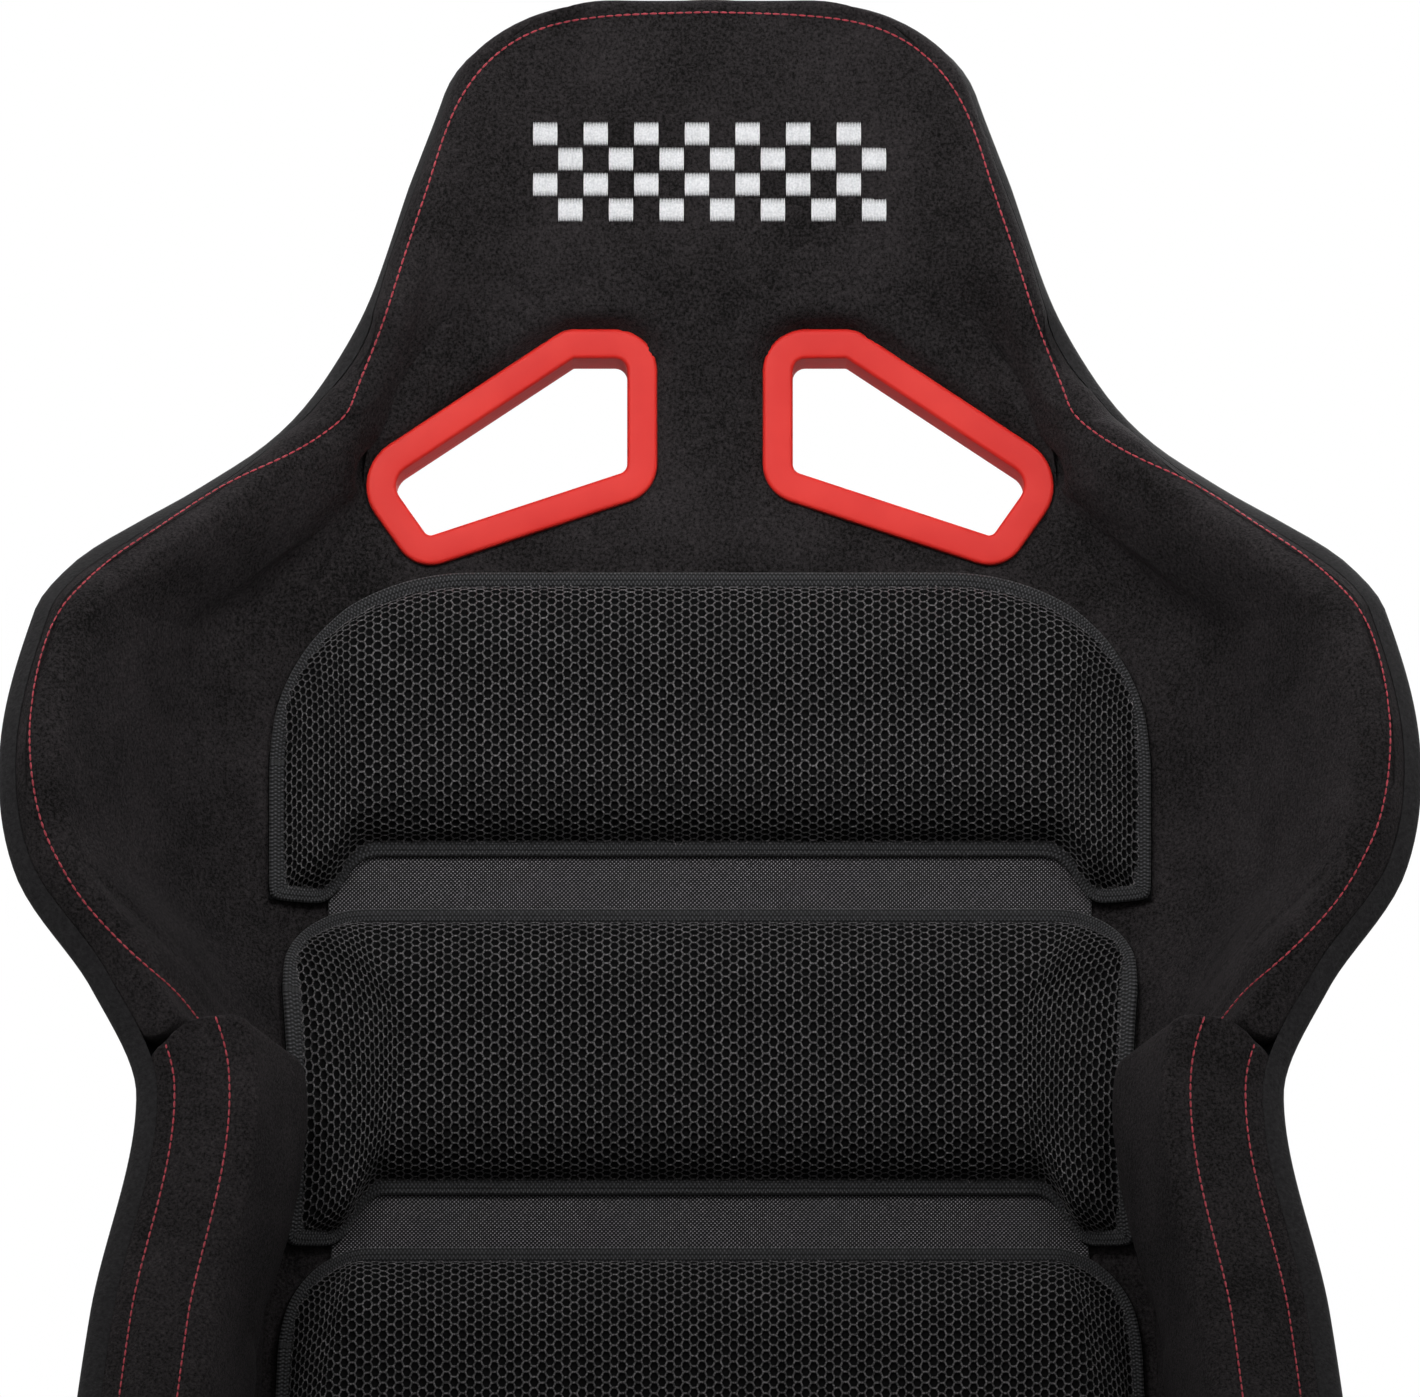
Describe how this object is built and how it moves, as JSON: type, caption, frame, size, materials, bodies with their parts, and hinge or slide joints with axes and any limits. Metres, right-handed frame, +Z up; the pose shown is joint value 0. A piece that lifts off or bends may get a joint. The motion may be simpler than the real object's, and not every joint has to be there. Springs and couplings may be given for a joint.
{
  "type": "racing seat",
  "caption": "Fixed-back racing bucket seat with harness openings, mesh-padded cushions, side bolsters, side brackets and lockable slider rails.",
  "frame": {"origin": "centre of the four floor bolts, on the floor plane", "axes": "+Z up, the sitter faces -Y, +X across the seat"},
  "size_m": [0.56, 0.6439, 0.8922],
  "materials": {
    "suede": "matte microsuede",
    "nylon": "woven nylon",
    "air_mesh": "open 3-D mesh",
    "cover_cloth": "smooth backing cloth",
    "shell_plastic": "moulded composite, matt",
    "red_plastic": "satin",
    "hook_tape": "hook tape",
    "black_screw": "black oxide",
    "zinc": "zinc plated",
    "black_steel": "powder coated, satin",
    "rail_steel": "phosphated steel",
    "acetal": "natural acetal",
    "foam_grip": "closed-cell foam"
  },
  "bodies": {
    "rails": {"lower_rail_left": "black_steel", "lower_rail_right": "black_steel"},
    "seat": {"shell": "shell_plastic", "rear_cover": "cover_cloth", "shoulder_pad": "suede", "back_pad": "suede", "seat_pad": "suede", "bolster_left": "suede", "bolster_right": "suede", "front_bezel_left": "red_plastic", "front_bezel_right": "red_plastic", "rear_bezel_left": "red_plastic", "rear_bezel_right": "red_plastic", "bezel_screws": "black_screw", "hook_strips": "hook_tape", "back_cushion_panel": "nylon", "back_mesh_pad_1": "air_mesh", "back_mesh_pad_2": "air_mesh", "back_mesh_pad_3": "air_mesh", "back_mesh_pad_4": "air_mesh", "seat_cushion_panel": "nylon", "seat_mesh_pad_1": "air_mesh", "seat_mesh_pad_2": "air_mesh", "side_inserts": "zinc", "side_spacers": "black_steel", "side_bolts": "zinc", "side_bracket_left": "black_steel", "side_bracket_right": "black_steel", "bracket_bolts": "zinc", "bracket_nuts": "zinc", "upper_rail_left": "rail_steel", "upper_rail_right": "rail_steel", "glide_shoes_left": "acetal", "glide_shoes_right": "acetal", "pivot_pins": "zinc", "lock_springs": "zinc"},
    "release": {"lock_arms": "rail_steel", "release_bar": "black_steel", "bar_grip": "foam_grip"}
  },
  "joints": [
    {"name": "seat_slide", "type": "slide", "parent": "rails", "child": "seat", "axis": [0, 1, 0], "range_m": [-0.1, 0.1]},
    {"name": "release_lift", "type": "hinge", "parent": "seat", "child": "release", "pos_m": [0, -0.072, 0.05], "axis": [-1, 0, 0], "range_deg": [0, 10], "stiffness_Nm_per_rad": 3, "springref_deg": -34.38}
  ]
}
